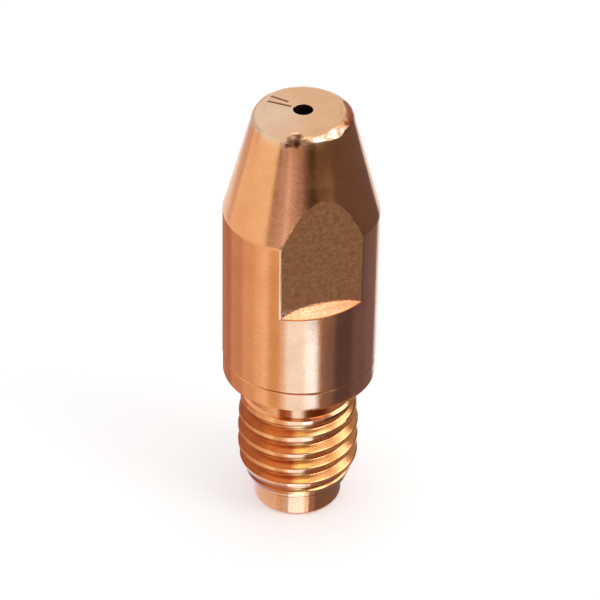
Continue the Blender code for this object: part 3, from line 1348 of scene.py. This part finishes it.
# Cards that lie on the floor. Each is told by the two degrees round the tip, from the camera's side and
# positive to the right, between which the tip's upright walls mirror it. Then come where it starts and
# how far it reaches, in millimetres from the wall, its brightness and its tint.
BODY_CARDS = (
    ("half_dark_floor_card", 14.8, 20.5, 0, 25, 0.32, ROSE),
    ("darker_floor_card", 20.5, 27, 0, 25, 0.24, LILAC),
    ("dark_floor_card", 27, 43, 0, 38, 0.115, LILAC),
    ("side_dark_floor_card", 43, 58, 0, 38, 0.18, LILAC),
    ("right_edge_floor_card", 58, 75, 0, 38, 0.22, ROSE),
    ("low_right_floor_card", 14.8, 30, 0, 12.2, 0.30, (1.0, 0.62, 0.40)),
    ("low_side_floor_card", 30, 80, 0, 12.2, 0.38, (1.0, 0.74, 0.52)),
    ("far_dark_floor_card", 27, 74, 38, 150, 0.165, ROSE),
    ("front_floor_card", -10, 7, 0, 36, 2.95, SKY),
    ("low_fading_floor_card", 6, 8, 0, 12.2, 1.3, COOL),
    ("low_dark_floor_card", 8, 14.8, 0, 12.2, 0.26, WARM),
    ("near_front_floor_card", 7, 14.8, 12.2, 21, 2.95, SKY),
    ("ledge_front_floor_card", 7, 13.2, 21, 24.6, 2.95, SKY),
    ("far_front_floor_card", 7, 27, 24.6, 90, 0.30, WHITE),
    ("bright_floor_card", 4.5, 12.8, 12.2, 24.6, 5.2, ICE),
    ("fading_floor_card", -14, -10, 1, 38, 1.5, (0.62, 0.72, 0.95)),
    ("dim_left_card", -23.5, -14, 1, 38, 0.79, (1.0, 0.86, 0.70)),
    ("bright_left_card", -29, -23.5, 1, 38, 1.0, (1.0, 1.06, 1.12)),
    ("middle_left_card", -35, -29, 1, 38, 0.91, WHITE),
    ("left_card", -47, -35, 1, 38, 0.80, WARM),
    ("back_left_card", -62, -47, 1, 38, 0.66, BROWN),
    ("left_edge_card", -90, -62, 1, 38, 0.52, (1.0, 0.54, 0.36)),
    ("far_left_floor_card", -95, -60, 60, 150, 0.72, (1.0, 0.90, 0.84)),
)
# Cards close round the foot, which only the pilot mirrors
FOOT_CARDS = (
    ("dark_foot_card", 24, 100, 0, 2.7, 0.22, ROSE),
    ("half_dark_foot_card", 16, 24, 0, 2.7, 0.38, ROSE),
    ("grey_foot_card", 10, 16, 0, 2.7, 2.0, COOL),
    ("bright_foot_card", -12, 10, 0, 2.7, 3.6, SKY),
    ("pale_foot_card", -19, -11, 0, 2.7, 1.3, COOL),
    ("dim_foot_card", -27, -19, 0, 2.7, 0.80, WHITE),
    ("left_foot_card", -90, -27, 0, 2.7, 0.98, (0.90, 1.0, 1.22)),
)
# Cards round the tip, on a dome: degrees from the camera's side between which each stands, its lowest
# and highest elevation as seen from the nose, its brightness and its tint.
DOME_CARDS = (
    ("left_back_card", -170, -95, -20, 8, 0.78, (1.0, 0.90, 0.90)),
    ("left_wall_card", -95, -48, -14, 2, 1.06, (1.0, 1.13, 1.22)),
    ("brown_card", -48, -38, -14, 2, 0.40, (1.0, 0.84, 0.95)),
    ("pale_brown_card", -38, -25, -14, 2, 0.56, PALE_ROSE),
    ("pale_strip_card", -25, -19, -14, 2, 1.05, (1.0, 1.05, 1.5)),
    ("strip_card", -19, -8, -14, 2, 0.62, (1.0, 0.96, 1.35)),
    ("middle_card", -8, 2, -14, 2, 0.40, (1.0, 0.95, 1.3)),
    ("low_middle_card", 2, 11, -14, 2, 0.18, ROSE),
    ("dark_card", 11, 24, -14, 2, 0.056, WARM),
    ("half_dark_card", 24, 62, -14, 2, 0.148, WARM),
    ("dark_side_card", 62, 134, -14, 2, 0.15, ROSE),
    ("camera_card", -32, 24, 2, 55, 0.45, (1.0, 0.80, 0.60)),
    ("dark_ridge_card", 24, 130, 2, 9, 0.14, WARM),
    ("high_front_card", -30, 30, 62, 88, 2.0, (1.0, 0.88, 0.72)),
    ("window_card", 24, 60, 9, 55, 5.0, COOL),
    ("window_bar_card", 60, 76, 9, 55, 1.0, WHITE),
    ("low_window_card", 76, 110, 9, 42, 4.2, COOL),
    ("side_window_card", 96, 130, 42, 60, 1.5, WHITE),
    ("brown_wall_card", 90, 165, -8, 34, 0.40, BROWN),
)
DOME_RADIUS = 150 * MM
DOME_HEIGHT = 25 * MM
DOME_LAYER = 0.5 * MM
WALL_RADIUS = 5.0 * MM
FOOT_RADIUS = 2.93 * MM
FLOOR_LAYER = 0.01 * MM
DEGREES_PER_POINT = 6
FLOOR_GREY = (0.86, 0.86, 0.86)
FLOOR_LIFT = (0.28, 0.20)  # glow that makes the floor white to the camera, and to mirrors


def degrees_between(start, end):
    """Even degrees from start to end, close enough together to follow a round edge."""
    count = max(1, math.ceil(abs(end - start) / DEGREES_PER_POINT))
    return [start + (end - start) * i / count for i in range(count + 1)]


def lay_cards(context, cards, wall, first_layer):
    """Lays cards on the floor where an upright wall of this radius mirrors them."""
    for layer, (name, start, end, near, far, radiance, tint) in enumerate(cards, start=first_layer):
        lift = Vector((0.0, 0.0, layer * FLOOR_LAYER))
        starts, ends = [], []
        for turn in degrees_between(start, end):
            seen = to_side(context, math.radians(turn))
            mirrored = to_side(context, math.radians(2 * turn))
            starts.append(seen * wall + mirrored * near * MM + lift)
            ends.append(seen * wall + mirrored * far * MM + lift)
        make_card(name, [starts, ends], radiance, tint)


def hang_dome_cards(context):
    center = Vector((0.0, 0.0, DOME_HEIGHT))
    for layer, (name, start, end, low, high, radiance, tint) in enumerate(DOME_CARDS):
        radius = DOME_RADIUS + layer * DOME_LAYER
        rows = []
        for elevation in degrees_between(low, high):
            rise = math.radians(elevation)
            row = []
            for turn in degrees_between(start, end):
                level = to_side(context, math.radians(turn)) * math.cos(rise)
                row.append(center + (level + Vector((0.0, 0.0, math.sin(rise)))) * radius)
            rows.append(row)
        make_card(name, rows, radiance, tint)


def lay_floor():
    """A plain pale floor that shows white and keeps the tip's shadow."""
    deselect_all()
    bpy.ops.mesh.primitive_plane_add(size=4.0)
    floor = bpy.context.object
    floor.name = "floor"
    material = bpy.data.materials.new("pale_floor")
    material.use_nodes = True
    shader = material.node_tree.nodes["Principled BSDF"]
    shader.inputs["Base Color"].default_value = opaque(FLOOR_GREY)
    shader.inputs["Roughness"].default_value = 1.0
    shader.inputs["Specular IOR Level"].default_value = 0.0
    make = NodeMaker(material.node_tree)
    path = make.add("ShaderNodeLightPath")
    seen = make.math("MAXIMUM", path.outputs["Is Camera Ray"], path.outputs["Is Glossy Ray"])
    dimmer = make.remap(path.outputs["Is Glossy Ray"], 0.0, 1.0, *FLOOR_LIFT)
    lift = make.math("MULTIPLY", seen, dimmer)
    shader.inputs["Emission Color"].default_value = opaque(WHITE)
    material.node_tree.links.new(lift, shader.inputs["Emission Strength"])
    floor.data.materials.append(material)


def light_room(context):
    """Light from all round that shows white to the camera and in reflections."""
    settings = context.scene.stage_settings
    world = bpy.data.worlds.new("studio")
    context.scene.world = world
    world.use_nodes = True
    tree = world.node_tree
    tree.nodes.clear()
    make = NodeMaker(tree)
    path = make.add("ShaderNodeLightPath")
    seen = make.math(
        "MAXIMUM",
        path.outputs["Is Camera Ray"],
        make.math("MAXIMUM", path.outputs["Is Glossy Ray"], path.outputs["Is Transmission Ray"]),
    )
    strength = make.remap(seen, 0.0, 1.0, settings.room_light, 1.0)
    light = make.add("ShaderNodeBackground", {"Color": opaque(WHITE), "Strength": strength})
    make.add("ShaderNodeOutputWorld", {"Surface": light.outputs[0]})


def hang_key_lamp(context):
    """A soft square lamp at the right that faces the tip, and that mirrors don't see."""
    turn = math.radians(60)
    rise = math.radians(45)
    distance = 250 * MM
    size = 100 * MM
    settings = context.scene.stage_settings
    aim = Vector((0.0, 0.0, settings.camera_aim))
    way = to_side(context, turn) * math.cos(rise) + Vector((0.0, 0.0, math.sin(rise)))
    deselect_all()
    bpy.ops.object.light_add(type="AREA", location=aim + way * distance)
    lamp = context.object
    lamp.name = "key_lamp"
    lamp.rotation_euler = way.to_track_quat("Z", "Y").to_euler()
    lamp.data.shape = "SQUARE"
    lamp.data.size = size
    lamp.data.energy = settings.key_radiance * math.pi * size * size
    lamp.visible_glossy = False


def place_camera(context):
    settings = context.scene.stage_settings
    rise = settings.camera_elevation
    aim = Vector((0.0, 0.0, settings.camera_aim))
    back = to_side(context, 0.0) * math.cos(rise) + Vector((0.0, 0.0, math.sin(rise)))
    deselect_all()
    bpy.ops.object.camera_add(location=aim + back * settings.camera_distance)
    camera = context.object
    look = back.to_track_quat("Z", "Y").to_matrix()
    camera.rotation_euler = (look @ Matrix.Rotation(settings.camera_roll, 3, "Z")).to_euler()
    camera.data.lens = settings.lens
    camera.data.sensor_width = 36.0
    camera.data.clip_start = MM
    camera.data.clip_end = 10.0
    context.scene.camera = camera


class CONTACT_TIP_OT_turn_tip(Operator):
    """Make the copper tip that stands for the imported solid"""

    bl_idname = "contact_tip.turn_tip"
    bl_label = "Turn the tip"

    def execute(self, context):
        make_tip(context)
        return {"FINISHED"}


class CONTACT_TIP_OT_set_stage(Operator):
    """Set the floor, the reflector cards, the lamps and the camera"""

    bl_idname = "contact_tip.set_stage"
    bl_label = "Set the stage"

    def execute(self, context):
        lay_floor()
        lay_cards(context, FOOT_CARDS, FOOT_RADIUS, 1)
        lay_cards(context, BODY_CARDS, WALL_RADIUS, 1 + len(FOOT_CARDS))
        hang_dome_cards(context)
        light_room(context)
        hang_key_lamp(context)
        place_camera(context)
        return {"FINISHED"}


class CONTACT_TIP_PT_panel(Panel):
    """Lists the steps that make the tip and its stage"""

    bl_label = "Contact tip"
    bl_idname = "CONTACT_TIP_PT_panel"
    bl_space_type = "VIEW_3D"
    bl_region_type = "UI"
    bl_category = "Contact tip"

    def draw(self, context):
        for group in (context.scene.tip_sizes, context.scene.copper_finish, context.scene.stage_settings):
            box = self.layout.box()
            for name in group.bl_rna.properties.keys():
                if name not in ("rna_type", "name"):
                    box.prop(group, name)
        self.layout.operator(CONTACT_TIP_OT_turn_tip.bl_idname)
        self.layout.operator(CONTACT_TIP_OT_set_stage.bl_idname)


CLASSES = (
    TipSizes,
    CopperFinish,
    StageSettings,
    CONTACT_TIP_OT_turn_tip,
    CONTACT_TIP_OT_set_stage,
    CONTACT_TIP_PT_panel,
)


def register():
    for cls in CLASSES:
        bpy.utils.register_class(cls)
    bpy.types.Scene.tip_sizes = PointerProperty(type=TipSizes)
    bpy.types.Scene.copper_finish = PointerProperty(type=CopperFinish)
    bpy.types.Scene.stage_settings = PointerProperty(type=StageSettings)


def unregister():
    del bpy.types.Scene.stage_settings
    del bpy.types.Scene.copper_finish
    del bpy.types.Scene.tip_sizes
    for cls in reversed(CLASSES):
        bpy.utils.unregister_class(cls)


def set_view():
    bpy.context.scene.view_settings.view_transform = "Standard"


def main():
    register()
    bpy.ops.contact_tip.turn_tip()
    bpy.ops.contact_tip.set_stage()
    set_view()


if __name__ == "__main__":
    main()
